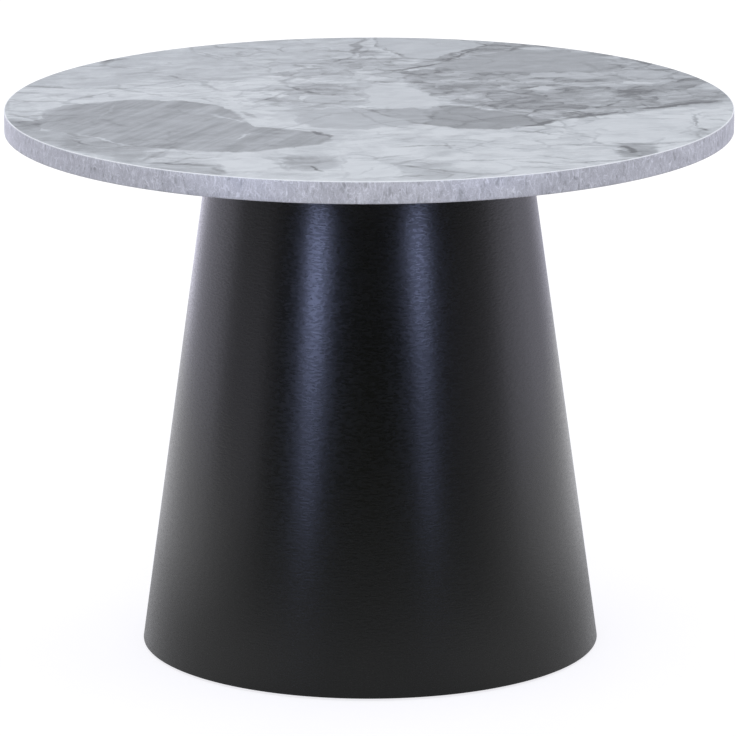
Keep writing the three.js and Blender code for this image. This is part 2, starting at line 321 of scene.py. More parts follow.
def add_softbox(name, compass, distance, width, bottom, top, brightness, colour):
    """An upright soft light at a compass angle, facing the table."""
    data = bpy.data.lights.new(name, "AREA")
    data.shape = "RECTANGLE"
    data.size = width
    data.size_y = top - bottom
    data.energy = brightness * math.pi * data.size * data.size_y
    data.color = colour
    light = bpy.data.objects.new(name, data)
    angle = math.radians(compass)
    light.location = (distance * math.sin(angle), -distance * math.cos(angle), (bottom + top) / 2)
    light.rotation_euler = Euler((math.pi / 2, 0, angle))
    light.visible_camera = False
    bpy.context.scene.collection.objects.link(light)
    return light


def set_lights():
    """Two blue strip lights that only show as gleams, and a broad key light that makes no gleam."""
    bpy.context.scene.view_settings.view_transform = "Standard"
    for side, compass, width, bands in STRIPS:
        for n, (bottom, top, brightness) in enumerate(bands):
            name = f"strip_{side}_{n}"
            strip = add_softbox(name, compass, STRIP_DISTANCE, width, bottom, top, brightness, STRIP_BLUE)
            strip.visible_diffuse = False
    key = add_softbox("key", 0, KEY_DISTANCE, KEY_WIDTH, KEY_BOTTOM, KEY_TOP, KEY_BRIGHTNESS, KEY_COLOUR)
    key.visible_glossy = False


# ---- Materials ----

class Finish(Nodes):
    """A material under construction."""

    def __init__(self, name):
        self.material = bpy.data.materials.new(name)
        self.material.use_nodes = True
        super().__init__(self.material.node_tree)
        self.surface = self.tree.nodes["Principled BSDF"]
        self.place = self.node("ShaderNodeTexCoord", {}).outputs["Object"]

    def set(self, **inputs):
        """Feeds the surface shader, with _ for a space in an input's name."""
        for key, value in inputs.items():
            self.feed(self.surface.inputs[key.replace("_", " ")], value)

    def wrapped(self, radius):
        """The place unrolled from a cylinder: way round from the front, height, distance out."""
        x, y, z = self.split(self.place)
        out = self.length(self.join(x, y, 0.0))
        return self.join(self.math("MULTIPLY", self.compass(x, y), radius), z, out)

    def bump(self, height, distance, normal=None):
        return self.node("ShaderNodeBump", {
            "Strength": 1.0, "Distance": distance, "Height": height, "Normal": normal,
        }).outputs["Normal"]


# The marble figure. Places in mm; shades run from 0, dark grey, to 1, white.
LENS = [
    [(-272, -62), (-255, -98), (-205, -148), (-155, -178), (-100, -190), (-98, -70), (-118, -12),
     (-152, 22), (-192, 31), (-242, 8), (-263, -12)],
    [(-118, -76), (-110, -186), (-98, -189), (-60, -171), (-35, -142), (-38, -110), (-72, -91)],
]
# Broken ground: outline; shade; softness of the edge in mm
FIELDS = [
    # pale field, back left
    ([(-300, 82), (-238, 92), (-180, 68), (-128, 104), (-52, 122), (-58, 178), (-15, 212), (0, 330),
      (-300, 330)], 0.70, 6),
    # grey breccia, right, and its darker parts
    ([(52, 30), (92, -12), (148, -66), (205, -34), (310, 24), (310, 190), (120, 330), (95, 262),
      (22, 150), (38, 112)], 0.47, 8),
    ([(80, 20), (120, -20), (200, -34), (300, 16), (280, 70), (190, 78), (110, 60)], 0.36, 14),
    ([(204, 50), (230, 42), (244, 56), (236, 70), (210, 72)], 0.14, 7),
    ([(152, 48), (176, 38), (196, 52), (176, 62)], 0.24, 7),
    ([(40, 110), (110, 96), (120, 140), (60, 150), (26, 146)], 0.40, 8),
    # middle ground, and the dark cluster behind it
    ([(-62, -40), (-8, -10), (30, 120), (10, 200), (-52, 118), (-70, 88), (-100, 20)], 0.67, 14),
    ([(-72, 90), (-40, 30), (-18, 60), (-24, 104)], 0.56, 8),
    ([(-58, 182), (-14, 150), (40, 150), (30, 200), (-6, 250), (-34, 240)], 0.60, 10),
    # fibrous white band, left
    ([(-262, 20), (-190, 42), (-118, 24), (-52, 60), (-100, 108), (-180, 66), (-240, 84)], 0.88, 10),
    # left rim
    ([(-300, -110), (-268, -104), (-258, -62), (-300, -46)], 0.34, 6),
    ([(-292, -110), (-180, -240), (-168, -166), (-198, -146), (-252, -98)], 0.46, 10),
    # front
    ([(198, -150), (224, -148), (232, -200), (200, -214)], 0.46, 3),
    ([(-70, -206), (-28, -202), (-24, -240), (-48, -262), (-64, -250)], 0.52, 4),
    ([(-178, -222), (-120, -232), (-112, -272), (-150, -270)], 0.56, 4),
    ([(34, -226), (70, -222), (62, -286), (30, -282)], 0.66, 8),
]
# Smooth clasts on the broken ground: outlines; shade; softness of the edge in mm; darkness of its outline
CLASTS = [
    # grey field, back right
    ([[(92, 142), (202, 144), (208, 182), (186, 226), (130, 240), (78, 204), (52, 166)]], 0.42, 9, 0.12),
    # pale triangle, back
    ([[(10, 250), (34, 208), (54, 206), (102, 264), (60, 310), (2, 310)]], 0.70, 2, 0.7),
    # round pale clast, centre
    ([[(-62, -58), (-50, -14), (-6, -8), (12, -26), (40, -74), (14, -89), (-16, -96), (-46, -82)]],
     0.62, 5, 0.3),
    # mid grey and dark wedges, centre
    ([[(2, -16), (56, -12), (64, -6), (46, -78), (34, -72)]], 0.47, 2.5, 0.5),
    ([[(62, -4), (78, -2), (102, -20), (150, -68), (142, -82), (106, -97), (70, -92), (44, -76)]],
     0.31, 2, 0.3),
    # long pale pebble, centre
    ([[(2, -10), (20, -17), (52, -14), (62, 8), (46, 56), (32, 90), (0, 96), (-6, 60)]], 0.85, 6, 0.2),
    # big grey lens, left
    (LENS, 0.40, 3.5, 0.35),
    # small pale clasts
    ([[(212, 122), (240, 114), (258, 126), (250, 146), (226, 152), (208, 140)]], 0.60, 3, 0.4),
    ([[(132, 126), (176, 110), (196, 120), (160, 142), (138, 142)]], 0.62, 4, 0.4),
    ([[(206, 88), (240, 86), (254, 94), (214, 100)]], 0.84, 3, 0.3),
    ([[(126, 70), (146, 60), (162, 72), (148, 80)]], 0.84, 3, 0.2),
    ([[(-10, 206), (14, 204), (22, 214), (4, 222), (-10, 218)]], 0.86, 3, 0.3),
    ([[(-52, 18), (-30, 10), (-14, 26), (-28, 44), (-46, 40)]], 0.68, 3, 0.3),
    ([[(-98, -10), (-76, -20), (-62, -12), (-72, -2), (-90, 0)]], 0.88, 3, 0.3),
    ([[(164, -26), (194, -30), (202, -14), (182, -6)]], 0.64, 3, 0.2),
    # white polygons, front and right
    ([[(-124, -226), (-86, -208), (-68, -226), (-78, -258), (-112, -262)]], 0.97, 2, 0.3),
    ([[(-20, -204), (4, -214), (12, -238), (36, -264), (8, -284), (-18, -290)]], 0.97, 2, 0.3),
    ([[(158, -96), (196, -52), (258, -56), (262, -104), (224, -148), (184, -140)]], 0.92, 2, 0.3),
]

# Veins: from x, y to x, y; half-width; darkness
VEINS = [
    (298, 20, 205, -24, 3.5, 1.0), (212, -22, 146, -70, 4.5, 1.0), (160, -60, 112, -102, 4.0, 0.8),
    (112, -98, 155, -122, 2.5, 0.8), (18, 146, 62, 184, 3.2, 1.0), (55, 178, 104, 264, 2.4, 0.7),
    (60, 200, 78, 208, 2.5, 0.8), (-4, 300, -16, 215, 4.0, 0.8), (-44, 242, 8, 236, 4.0, 0.5),
    (-14, 222, -32, 180, 3.0, 0.7), (-62, 184, -30, 178, 2.5, 0.6), (-62, 184, -50, 152, 2.5, 0.5),
    (8, 250, 34, 206, 2.0, 0.7), (20, 206, 60, 202, 2.5, 0.7), (-296, 88, -236, 76, 3.0, 0.7),
    (-236, 78, -178, 70, 2.0, 0.5), (-180, 68, -142, 90, 1.5, 0.5), (-142, 96, -30, 110, 2.0, 0.3),
    (-298, 62, -262, 52, 3.0, 0.5), (-300, -20, -262, -66, 3.0, 0.6), (-72, 84, -38, 40, 3.0, 0.7),
    (-108, -20, -96, -50, 2.5, 0.6), (-48, -98, -34, -128, 2.5, 0.9), (-62, -90, -44, -96, 2.0, 0.6),
    (-159, -177, -178, -224, 3.0, 0.6), (-178, -226, -120, -236, 3.5, 0.7),
    (-128, -236, -112, -268, 3.0, 0.5), (-76, -215, -60, -262, 3.0, 0.4),
    (-46, -240, -34, -266, 2.5, 1.0), (10, -238, -16, -282, 1.5, 0.3), (12, -282, 52, -272, 2.5, 0.6),
    (12, -166, 78, -162, 1.8, 0.9), (-10, -216, 60, -222, 1.5, 0.4), (60, -226, 138, -212, 2.0, 0.6),
    (112, -222, 160, -240, 2.2, 0.7), (134, -200, 168, -226, 2.2, 0.6),
    (160, -232, 214, -216, 2.5, 0.8), (150, -158, 202, -164, 2.2, 0.8),
    (202, -162, 212, -196, 3.5, 0.8), (205, -160, 262, -146, 1.5, 0.6), (262, -34, 264, -92, 2.0, 0.9),
    (262, -90, 280, -108, 2.5, 0.9), (206, -54, 260, -58, 1.5, 0.3), (-226, 240, -176, 214, 1.5, 0.4),
    (-146, 240, -126, 214, 2.0, 0.5), (-76, 262, -74, 232, 2.0, 0.6), (-160, 160, -138, 158, 2.0, 0.5),
    (-163, 130, -156, 118, 2.5, 0.6), (-200, 205, -232, 190, 2.5, 0.5),
]

# Pale lines: from x, y to x, y; half-width; brightness
PALE_LINES = [
    (-240, -108, -182, -166, 2.0, 0.8), (-134, -28, -100, -72, 2.0, 0.7),
    (-92, -104, -108, -140, 1.6, 0.9), (-206, 20, -222, -60, 2.0, 0.3), (94, -10, 146, -66, 1.6, 0.4),
    (-212, 58, -150, 54, 3.0, 0.6), (-118, 92, -70, 96, 2.0, 0.6), (-60, 80, -48, 40, 2.0, 0.5),
]

# The middle and the right, where the ground is crushed to small chips
CRUSHED = [
    (-120, 10), (-50, -20), (0, 0), (110, -10), (150, -80), (205, -34), (310, 20), (310, 120),
    (150, 330), (0, 260), (-50, 200), (-120, 60),
]


def hull(corners):
    """The corners that a string pulled tight round them all would touch, anticlockwise."""
    kept = []
    for way in (sorted(corners), sorted(corners, reverse=True)):
        side = []
        for x, y in way:
            while len(side) > 1:
                (x0, y0), (x1, y1) = side[-2:]
                if (x1 - x0) * (y - y0) - (y1 - y0) * (x - x0) > 0:
                    break
                side.pop()
            side.append((x, y))
        kept += side[:-1]
    return kept


def beyond(p, vector, corners):
    """How far the vector is outside the hull of the corners, in metres, and negative inside it."""
    outline = hull(corners)
    reach = None
    for (x0, y0), (x1, y1) in zip(outline, outline[1:] + outline[:1]):
        run = math.hypot(x1 - x0, y1 - y0)
        across = ((y1 - y0) / run, (x0 - x1) / run, 0)
        past = p.math("SUBTRACT", p.dot(vector, across), (across[0] * x0 + across[1] * y0) * MM)
        reach = past if reach is None else p.math("SMOOTH_MAX", reach, past, 5 * MM)
    return reach


def stroke(p, vector, x0, y0, x1, y1, wide):
    """1 along a line that thins towards its ends, and 0 away from it."""
    run = math.hypot(x1 - x0, y1 - y0)
    turn = math.atan2(y1 - y0, x1 - x0)
    middle_x = (x0 + x1) / 2 * MM
    middle_y = (y0 + y1) / 2 * MM
    seen = p.spot(vector, middle_x, middle_y, run * 0.60 * MM, wide * 1.25 * MM, turn)
    return p.ramp(p.length(seen), 1.0, 0.3)


def with_fields(p, shade, angular):
    """The shade with the broken fields on it."""
    for outline, tone, soft in FIELDS:
        inside = p.ramp(beyond(p, angular, outline), soft * MM, -soft * MM)
        shade = p.mix(inside, shade, tone)
    return shade


def with_chips(p, shade, drifted):
    """The shade with small chips, where the ground is crushed."""
    crushed = p.ramp(beyond(p, drifted, CRUSHED), 14 * MM, -10 * MM)
    squashed = p.drawn_out(drifted, 1.7, 10)
    chips = p.split(p.cells(squashed, 52.0, "Color"))[0]
    grit = p.split(p.cells(squashed, 150.0, "Color"))[0]
    seams = p.ramp(p.cells(squashed, 52.0, feature="DISTANCE_TO_EDGE"), 0.0, 0.12, 0.12, 0.0)
    pieces = p.math("ADD", p.ramp(chips, 0.0, 1.0, -0.13, 0.19), p.ramp(grit, 0.1, 0.9, -0.09, 0.09))
    pieces = p.math("SUBTRACT", pieces, seams)
    return p.math("ADD", shade, p.math("MULTIPLY", pieces, crushed))


def with_clasts(p, shade, flat, angular):
    """The shade with the smooth clasts, where the clasts are, and where the big lens is.

    Each clast has a thin dark line round part of it.
    """
    broken = p.ramp(p.noise(flat, 30.0, 2.0), 0.36, 0.58)
    clasts = 0.0
    for outlines, tone, soft, line in CLASTS:
        reach = beyond(p, angular, outlines[0])
        for outline in outlines[1:]:
            reach = p.math("MINIMUM", reach, beyond(p, angular, outline))
        inside = p.ramp(reach, soft * MM, -soft * MM)
        shade = p.mix(inside, shade, tone)
        clasts = p.math("MAXIMUM", clasts, inside)
        if outlines is LENS:
            lens = inside
        edge = p.ramp(p.math("ABSOLUTE", reach), 0.3 * MM, 2.6 * MM, 0.6 * line, 0.0)
        shade = p.math("SUBTRACT", shade, p.math("MULTIPLY", edge, broken))
    return shade, clasts, lens


def with_streaks(p, shade, flat, lens):
    """The shade with fine straight streaks in the big lens."""
    wide = p.noise(p.drawn_out(flat, 10.0, 64), 60.0, 3.0, 0.6)
    fine = p.noise(p.drawn_out(flat, 16.0, 64), 190.0, 3.0, 0.6)
    streaks = p.math("ADD", p.ramp(wide, 0.3, 0.7, -0.09, 0.09), p.ramp(fine, 0.3, 0.7, -0.07, 0.07))
    return p.math("ADD", shade, p.math("MULTIPLY", lens, streaks))


def with_cracks(p, shade, flat, drifted, loud):
    """The shade with clouds, crackle and hairlines, as strong as loud says."""
    clouds = p.ramp(p.noise(p.drawn_out(drifted, 2.2, 12), 60.0, 6.0, 0.72), 0.25, 0.75, -0.22, 0.22)
    shade = p.math("ADD", shade, p.math("MULTIPLY", clouds, loud))
    crackle = p.cells(p.drawn_out(drifted, 1.4, 15), 19.0, feature="DISTANCE_TO_EDGE")
    patchy = p.math("MULTIPLY", p.ramp(p.noise(flat, 9.0, 3.0), 0.44, 0.60), loud)
    shade = p.math("SUBTRACT", shade, p.math("MULTIPLY", p.ramp(crackle, 0.0, 0.05, 0.34, 0.0), patchy))
    hairs = p.cells(p.drawn_out(drifted, 2.0, -10), 46.0, feature="DISTANCE_TO_EDGE")
    sparse = p.math("MULTIPLY", p.ramp(p.noise(flat, 16.0, 3.0), 0.48, 0.62), loud)
    return p.math("SUBTRACT", shade, p.math("MULTIPLY", p.ramp(hairs, 0.0, 0.07, 0.28, 0.0), sparse))


def with_veins(p, shade, drifted):
    """The shade with the listed veins and pale lines."""
    frayed = p.wander(drifted, 160.0, 0.005, 2.0)
    dark = 0.0
    for x0, y0, x1, y1, wide, strength in VEINS:
        line = stroke(p, frayed, x0, y0, x1, y1, wide)
        dark = p.math("MAXIMUM", dark, p.math("MULTIPLY", line, 0.60 * strength))
    shade = p.math("SUBTRACT", shade, dark)
    for x0, y0, x1, y1, wide, strength in PALE_LINES:
        line = stroke(p, drifted, x0, y0, x1, y1, wide)
        shade = p.math("ADD", shade, p.math("MULTIPLY", line, 0.45 * strength))
    return shade


def marble():
    """The top's printed sheet: white marble with grey fields, clasts and veins, under a satin surface."""
    p = Finish("marble_laminate")
    flat = p.vector("MULTIPLY", p.place, (1, 1, 0))
    drifted = p.wander(p.wander(flat, 14.0, 0.022), 70.0, 0.013, 4.0)
    corners = p.cells(drifted, 75.0, "Position")
    angular = p.node("ShaderNodeMix", {0: 0.30, 4: drifted, 5: corners}, data_type="VECTOR").outputs[1]

    shade = p.ramp(p.noise(drifted, 11.0, 5.0, 0.6), 0.3, 0.7, 0.78, 1.0)
    shade = with_fields(p, shade, angular)
    shade = with_chips(p, shade, drifted)
    shade, clasts, lens = with_clasts(p, shade, flat, angular)
    shade = with_streaks(p, shade, flat, lens)
    shade = with_cracks(p, shade, flat, drifted, p.mix(clasts, 1.0, 0.5))
    shade = with_veins(p, shade, drifted)

    shade = p.math("ADD", shade, 0.0, clamp=True)
    colour = p.colours(shade, [
        (0.0, (0.11, 0.119, 0.130)), (0.45, (0.340, 0.360, 0.385)), (0.7, (0.460, 0.487, 0.517)),
        (1.0, (0.63, 0.66, 0.69)),
    ])
    printed = p.noise(flat, 900.0, 2.0)
    colour = p.blend(p.ramp(printed, 0.3, 0.7, 0.0, 0.06), colour, (0.80, 0.82, 0.86, 1))
    p.set(Base_Color=colour, Roughness=p.ramp(p.noise(flat, 60.0, 3.0), 0.3, 0.7, 0.34, 0.40))
    p.set(Normal=p.bump(p.noise(flat, 700.0, 3.0), 0.02 * MM))
    return p.material


def edging():
    """The printed edging: grey-mauve with small pale upright squiggles, and painted shade along its lower
    edge.
    """
    p = Finish("stone_edging")
    along = p.wrapped(TOP_RADIUS)
    upright = p.drawn_out(along, 2.2, 90)
    wavy = p.wander(upright, 150.0, 0.008)
    fibres = p.math("ABSOLUTE", p.math("SUBTRACT", p.noise(wavy, 190.0, 1.0), 0.5))
    finer = p.math("ABSOLUTE", p.math("SUBTRACT", p.noise(wavy, 420.0, 1.0), 0.5))
    crowded = p.ramp(p.noise(along, 110.0, 3.0), 0.38, 0.60, 0.35, 1.0)
    mottle = p.noise(along, 50.0, 4.0, 0.7)
    shade = p.ramp(mottle, 0.28, 0.72, 0.28, 0.54)
    shade = p.math("ADD", shade, p.math("MULTIPLY", p.ramp(fibres, 0.0, 0.05, 0.36, 0.0), crowded))
    shade = p.math("ADD", shade, p.ramp(finer, 0.0, 0.06, 0.18, 0.0))
    shade = p.math("SUBTRACT", shade, p.ramp(p.noise(wavy, 260.0, 2.0), 0.56, 0.70, 0.0, 0.30))
    grain = p.noise(along, 900.0, 2.0)
    shade = p.math("ADD", shade, p.ramp(grain, 0.3, 0.7, -0.08, 0.08))
    height = p.split(p.place)["Z"]
    low = p.ramp(height, UNDERSIDE_Z + 6 * MM, UNDERSIDE_Z + 1 * MM)
    # Dark specks all over the print; their extra depth towards the underside is painted shade
    specks = p.ramp(p.noise(along, 800.0, 1.0), 0.66, 0.74)
    shade = p.math("SUBTRACT", shade, p.math("MULTIPLY", specks, p.mix(low, 0.08, 0.30)))
    colour = p.colours(p.math("ADD", shade, 0.0, clamp=True), [
        (0.0, (0.305, 0.312, 0.345)), (0.4, (0.482, 0.492, 0.546)), (1.0, (0.77, 0.785, 0.86)),
    ])
    # Painted shade: the band's lowest 1.6 mm, blended a quarter of the way to dark grey
    painted_bottom_shade = p.ramp(height, UNDERSIDE_Z + 1.6 * MM, UNDERSIDE_Z + 0.4 * MM, 0.0, 0.25)
    colour = p.blend(painted_bottom_shade, colour, (0.30, 0.29, 0.31, 1))
    p.set(Base_Color=colour, Roughness=p.ramp(mottle, 0.3, 0.7, 0.42, 0.5))
    p.set(Normal=p.bump(p.noise(along, 900.0, 2.0), 0.02 * MM))
    return p.material


def band_core():
    """The pale core of the edging, bared along the trimmed arris."""
    p = Finish("band_core")
    grain = p.noise(p.wrapped(TOP_RADIUS), 300.0, 3.0)
    p.set(Base_Color=p.colours(grain, [(0.3, (0.78, 0.80, 0.84)), (0.7, (0.90, 0.92, 0.95))]))
    p.set(Roughness=p.ramp(grain, 0.3, 0.7, 0.45, 0.55), Normal=p.bump(grain, 0.02 * MM))
    return p.material


def powder_coat():
    """Satin black powder coat with the fine wrinkle of an orange peel, drawn out sideways."""
    p = Finish("black_powder_coat")
    along = p.wrapped(CONE_HEAD_RADIUS)
    tone = p.noise(p.place, 9.0, 4.0)
    p.set(Base_Color=p.colours(tone, [(0.3, (0.0018, 0.0020, 0.0008)), (0.7, (0.0026, 0.0028, 0.0014))]))
    dimples = p.bump(p.noise(p.place, 130.0, 2.0), 0.05 * MM)
    wrinkle = p.noise(p.drawn_out(along, 2.4), 600.0, 2.0, 0.55)
    polish = p.math("ADD", p.ramp(wrinkle, 0.35, 0.65, -0.03, 0.03), p.ramp(tone, 0.3, 0.7, -0.01, 0.01))
    p.set(Roughness=p.math("ADD", polish, 0.27), Normal=p.bump(wrinkle, 0.14 * MM, dimples))
    return p.material


def zinc():
    """Bright zinc plate with a faint blue and yellow bloom."""
    p = Finish("zinc_plated_steel")
    bloom = p.noise(p.place, 220.0, 3.0)
    p.set(Base_Color=p.colours(bloom, [(0.3, (0.56, 0.59, 0.63)), (0.7, (0.66, 0.65, 0.60))]))
    fine = p.noise(p.place, 1600.0, 3.0)
    p.set(Metallic=1.0, Roughness=p.ramp(fine, 0.3, 0.7, 0.26, 0.42), Normal=p.bump(fine, 0.01 * MM))
    return p.material


def nylon():
    """The glides' black nylon, with a fine moulded grain."""
    p = Finish("black_nylon")
    grain = p.noise(p.place, 900.0, 3.0)
    p.set(Base_Color=p.colours(grain, [(0.3, (0.012, 0.012, 0.013)), (0.7, (0.022, 0.022, 0.023))]))
    p.set(Roughness=p.ramp(grain, 0.3, 0.7, 0.45, 0.6), Normal=p.bump(grain, 0.03 * MM))
    return p.material


def fibreboard():
    """The board inside the top: brown pressed fibres."""
    p = Finish("fibreboard")
    fibres = p.noise(p.drawn_out(p.place, 2.5), 700.0, 4.0, 0.65)
    p.set(Base_Color=p.colours(fibres, [(0.3, (0.30, 0.20, 0.12)), (0.7, (0.47, 0.34, 0.22))]))
    p.set(Roughness=0.85, Normal=p.bump(fibres, 0.1 * MM))
    return p.material


def backer():
    """The underside's pale grey balancing sheet, with a fine pearl texture."""
    p = Finish("backing_laminate")
    pearl = p.noise(p.place, 1100.0, 2.0)
    cloudy = p.noise(p.place, 25.0, 3.0)
    p.set(Base_Color=p.colours(cloudy, [(0.3, (0.50, 0.51, 0.53)), (0.7, (0.55, 0.56, 0.58))]))
    p.set(Roughness=p.ramp(pearl, 0.3, 0.7, 0.4, 0.5), Normal=p.bump(pearl, 0.03 * MM))
    return p.material


def floor_finish():
    """A pale floor: white to the camera, and to the table bright at the sides and darker in front."""
    p = Finish("floor")
    tone = p.noise(p.place, 3.0, 2.0)
    p.set(Base_Color=p.colours(tone, [(0.3, (0.24, 0.24, 0.245)), (0.7, (0.26, 0.26, 0.265))]))
    p.surface.inputs["Roughness"].default_value = 0.9
    p.surface.inputs["Emission Color"].default_value = (0.99, 0.985, 1.02, 1)
    place = p.split(p.place)
    off_front = p.math("ABSOLUTE", p.compass(place["X"], place["Y"]))
    afar = p.ramp(off_front, math.radians(45), math.radians(100), *FLOOR_GLOW_AFAR)
    close = p.ramp(off_front, math.radians(10), math.radians(50), *FLOOR_GLOW_CLOSE)
    to_table = p.mix(p.ramp(p.length(p.place), 0.65, 0.25), afar, close)
    p.set(Emission_Strength=p.mix(p.camera_sees(), to_table, FLOOR_GLOW_SEEN))
    return p.material


# ---- Mesh making ----

def hexagon(width, most):
    """The radius of a hexagon of that width across its flats, cut off at most."""
    def radius(angle):
        off_flat = (angle % (TAU / 6)) - TAU / 12
        return min(most, width / 2 / math.cos(off_flat))
    return radius


def thread(root, crest, pitch, z):
    """The radius of a screw thread round its section at height z."""
    def radius(angle):
        phase = (z / pitch - angle / TAU) % 1
        return root + (crest - root) * min(1, max(0, 1.6 * abs(2 * phase - 1) - 0.3))
    return radius


def rippled(radius, depth, count):
    """The radius of a circle with that many waves round it."""
    def wave(angle):
        return radius + depth * math.cos(count * angle)
    return wave


def screwed(size, low, high):
    """Profile rows for a thread of (root, crest, pitch) from low to high."""
    pitch = size[2]
    count = round(THREAD_ROWS * abs(high - low) / pitch)
    heights = [low + (high - low) * n / count for n in range(count + 1)]
    return [(thread(*size, z), z) for z in heights]


def turned(profile, steps, start=0.0, sweep=TAU):
    """Vertices and faces of a profile of (radius, z) rows turned round the Z axis.

    A radius may be a function of the angle. The profile starts and ends on the axis, or is a closed
    loop. A sweep of less than a full turn gets flat ends.
    """
    looped = profile[0][0] != 0
    full = sweep > TAU - 1e-9
    columns = steps if full else steps + 1
    vertices = []
    rows = []
    for radius, z in profile:
        if radius == 0:
            rows.append([len(vertices)] * columns)
            vertices.append((0, 0, z))
            continue
        rows.append(list(range(len(vertices), len(vertices) + columns)))
        for n in range(columns):
            angle = start + sweep * n / steps
            r = radius(angle) if callable(radius) else radius
            vertices.append((r * math.cos(angle), r * math.sin(angle), z))
    faces = []
    following = rows[1:] + rows[:1] if looped else rows[1:]
    for low, high in zip(rows, following):
        for n in range(steps):
            m = (n + 1) % columns
            faces.append(tuple(dict.fromkeys([low[n], low[m], high[m], high[n]])))
    if not full:
        faces.append(tuple(row[0] for row in rows))
        faces.append(tuple(row[-1] for row in rows))
    return vertices, faces


def rounded(corners, radius, steps=3):
    """A closed profile with its corners rounded, from (radius, z) corner points."""
    points = []
    for n, corner in enumerate(corners):
        here = Vector(corner)
        before = (Vector(corners[n - 1]) - here).normalized()
        after = (Vector(corners[(n + 1) % len(corners)]) - here).normalized()
        half = before.angle(after) / 2
        back = radius / math.tan(half)
        centre = here + (before + after).normalized() * radius / math.sin(half)
        first = here + before * back - centre
        last = here + after * back - centre
        for k in range(steps + 1):
            points.append(tuple(centre + radius * first.slerp(last, k / steps)))
    return points


def flat_ring(inner, outer, low, high, edge):
    """The closed profile of a flat ring with eased edges."""
    return rounded([(inner, low), (outer, low), (outer, high), (inner, high)], edge)


def bead(radius, z, size):
    """A ring of weld bead with ripples."""
    count = round(TAU * radius / WELD_RIPPLE_PITCH)
    rows = []
    for n in range(BEAD_ROWS):
        angle = TAU * n / BEAD_ROWS
        outline = rippled(radius + size * math.cos(angle), WELD_RIPPLE, count)
        rows.append((outline, z + size * math.sin(angle)))
    return turned(rows, BEAD_STEPS)


def moved(shape, place):
    """A shape's vertices and faces, moved to a place."""
    vertices, faces = shape
    return [tuple(Vector(v) + Vector(place)) for v in vertices], faces


def circle(count, radius):
    """That many points round the Z axis."""
    angles = [TAU * n / count for n in range(count)]
    return [(radius * math.cos(angle), radius * math.sin(angle), 0) for angle in angles]


def plate(low, high, loops, edge):
    """A flat plate with eased edges, from its outline and holes as loops of (x, y, radius, steps)."""
    tool = bmesh.new()
    for x, y, radius, steps in loops:
        around = [tool.verts.new(Vector((x, y, low)) + Vector(p)) for p in circle(steps, radius)]
        for n, vertex in enumerate(around):
            tool.edges.new((vertex, around[(n + 1) % steps]))
    bmesh.ops.triangle_fill(tool, use_beauty=True, edges=tool.edges[:])
    bmesh.ops.recalc_face_normals(tool, faces=tool.faces)
    raised = bmesh.ops.extrude_face_region(tool, geom=tool.faces[:])["geom"]
    up = [item for item in raised if isinstance(item, bmesh.types.BMVert)]
    bmesh.ops.translate(tool, verts=up, vec=(0, 0, high - low))
    rims = [e for e in tool.edges if len(e.link_faces) == 2 and e.calc_face_angle() > 1.2]
    bmesh.ops.bevel(tool, geom=rims, offset=edge, segments=2, profile=0.5, affect="EDGES")
    vertices = [tuple(v.co) for v in tool.verts]
    tool.verts.index_update()
    faces = [tuple(v.index for v in f.verts) for f in tool.faces]
    tool.free()
    return vertices, faces


def new_mesh(name, shape, materials, crease=30, paint=None):
    """A mesh, shaded smooth up to the crease angle. paint(centre) may choose a face's material."""
    mesh = bpy.data.meshes.new(name)
    mesh.from_pydata(shape[0], [], shape[1])
    tool = bmesh.new()
    tool.from_mesh(mesh)
    bmesh.ops.recalc_face_normals(tool, faces=tool.faces)
    tool.to_mesh(mesh)
    tool.free()
    for material in materials:
        mesh.materials.append(material)
    if paint:
        for face in mesh.polygons:
            face.material_index = paint(face.center)
    mesh.shade_smooth()
    mesh.set_sharp_from_angle(angle=math.radians(crease))
    return mesh


def add_piece(name, shape, materials, slot, nodes, body="table", **look):
    """A mesh that rides on a body and takes the place of the CAD nodes."""
    piece = bpy.data.objects.new(name, new_mesh(name, shape, materials, **look))
    bpy.context.scene.collection.objects.link(piece)
    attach(piece, body)
    if nodes:
        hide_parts(*nodes)
    return piece


def middle(node):
    """A node's centre in plan."""
    low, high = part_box(node)
    return ((low.x + high.x) / 2, (low.y + high.y) / 2, 0)


def cone_radius(z):
    """The cone's outer radius at a height."""
    share = (z - CONE_FOOT_Z) / (CONE_HEAD_Z - CONE_FOOT_Z)
    return CONE_FOOT_RADIUS + (CONE_HEAD_RADIUS - CONE_FOOT_RADIUS) * share


# ---- The pieces ----

def add_top_sheet(marble_sheet):
    low, high = SHEET_BOX
    shape = turned([(0, low.z), (high.x, low.z), (high.x, high.z), (0, high.z)], LARGE_STEPS)
    add_piece("marble_sheet", shape, [marble_sheet], "marble_laminate", ["marble_top_sheet"])


def add_edge_band(printed, core):
    outer = TOP_RADIUS
    inner = TOP_RADIUS - BAND_THICKNESS
    profile = [
        (inner, UNDERSIDE_Z),
        (outer - BAND_BEVEL / 2, UNDERSIDE_Z),
        (outer, UNDERSIDE_Z + BAND_BEVEL / 2),
        (outer, TOP_Z - BAND_BEVEL),
        (outer - BAND_BEVEL * 0.3, TOP_Z - BAND_BEVEL * 0.3),
        (outer - BAND_BEVEL, TOP_Z),
        (inner, TOP_Z),
    ]
    gap = BAND_SEAM_WIDTH / 2 / outer
    shape = turned(profile, LARGE_STEPS, TAU / 4 + gap, TAU - 2 * gap)

    def paint(centre):
        return 1 if centre.z > TOP_Z - BAND_BEVEL else 0

    add_piece("edging_strip", shape, [printed, core], "stone_edging", ["edge_band"], paint=paint)


def add_cone(black):
    inner_foot = CONE_FOOT_RADIUS - SHELL_THICKNESS
    inner_head = CONE_HEAD_RADIUS - SHELL_THICKNESS
    corners = [
        (inner_foot, CONE_FOOT_Z),
        (CONE_FOOT_RADIUS, CONE_FOOT_Z),
        (CONE_HEAD_RADIUS, CONE_HEAD_Z),
        (inner_head, CONE_HEAD_Z),
    ]
    shape = turned(rounded(corners, CONE_EDGE), LARGE_STEPS)
    add_piece("pedestal_cone", shape, [black], "black_powder_coat", ["cone_shell"])


